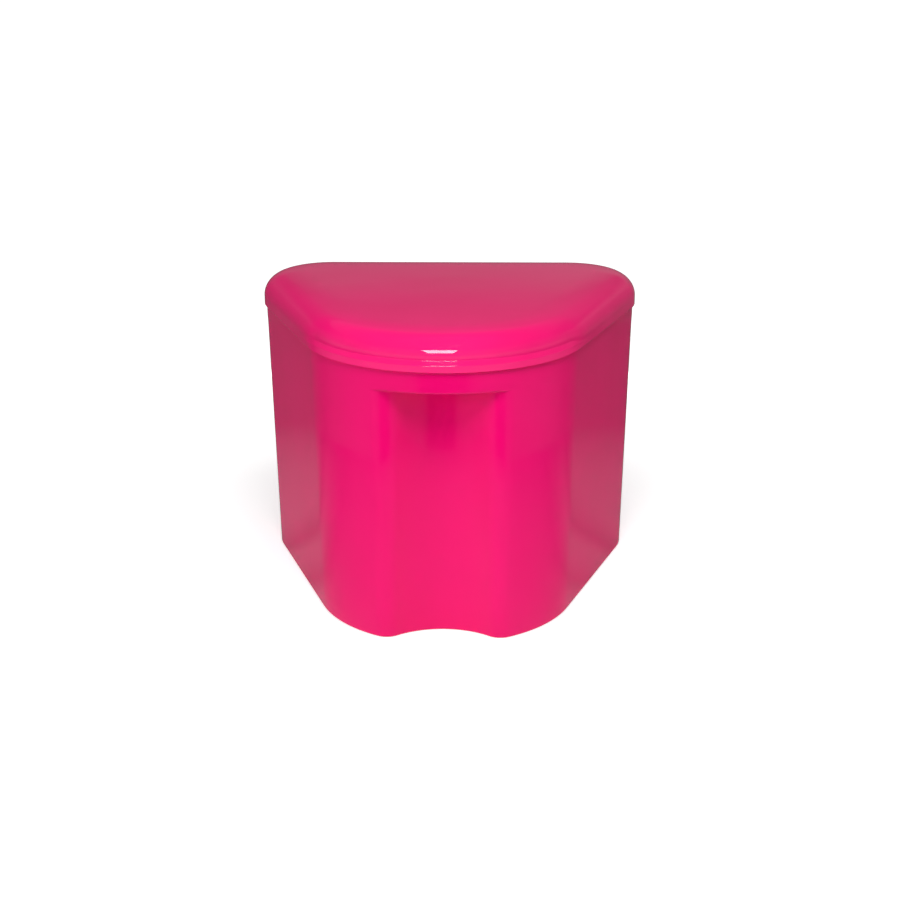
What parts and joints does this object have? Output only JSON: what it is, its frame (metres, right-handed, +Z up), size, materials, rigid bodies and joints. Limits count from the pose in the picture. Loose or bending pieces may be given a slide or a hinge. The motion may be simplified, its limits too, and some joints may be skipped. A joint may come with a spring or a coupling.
{
  "type": "denture case",
  "caption": "Closed D-shaped soaking case with a thumb flute down its front, a domed lid hinged at the flat back, and a lift-out slotted basket with a folding bail.",
  "frame": {"origin": "on the surface the case stands on, under the middle of the box that holds the closed case with its hinge", "axes": "+Z up, -Y towards the front with the thumb flute, +Y towards the flat back with the hinge, +X to the right as seen from the front"},
  "size_m": [0.09, 0.0856, 0.07],
  "materials": {
    "case_pink": "polished moulded plastic, hot pink",
    "lid_pink": "polished moulded plastic, hot pink",
    "pin_steel": "drawn stainless wire",
    "basket_white": "satin natural white plastic",
    "bail_white": "satin natural white plastic"
  },
  "bodies": {
    "case": {"case_body": "case_pink", "hinge_pin_left": "pin_steel", "hinge_pin_right": "pin_steel"},
    "lid": {"lid": "lid_pink"},
    "basket": {"strainer_basket": "basket_white"},
    "bail": {"basket_bail": "bail_white"}
  },
  "joints": [
    {"name": "lid_hinge", "type": "hinge", "parent": "case", "child": "lid", "pos_m": [0, 0.0402, 0.062], "axis": [-1, 0, 0], "range_deg": [0, 120]},
    {"name": "basket_lift", "type": "slide", "parent": "case", "child": "basket", "axis": [0, 0, 1], "range_m": [0, 0.042]},
    {"name": "bail_swing", "type": "hinge", "parent": "basket", "child": "bail", "pos_m": [0, 0.0012, 0.0545], "axis": [-1, 0, 0], "range_deg": [0, 90]}
  ],
  "couplings": [
    {"joint": "basket_lift", "follows": "lid_hinge", "m_per_rad": 0.02005},
    {"joint": "bail_swing", "follows": "lid_hinge", "ratio": 0.7499}
  ]
}
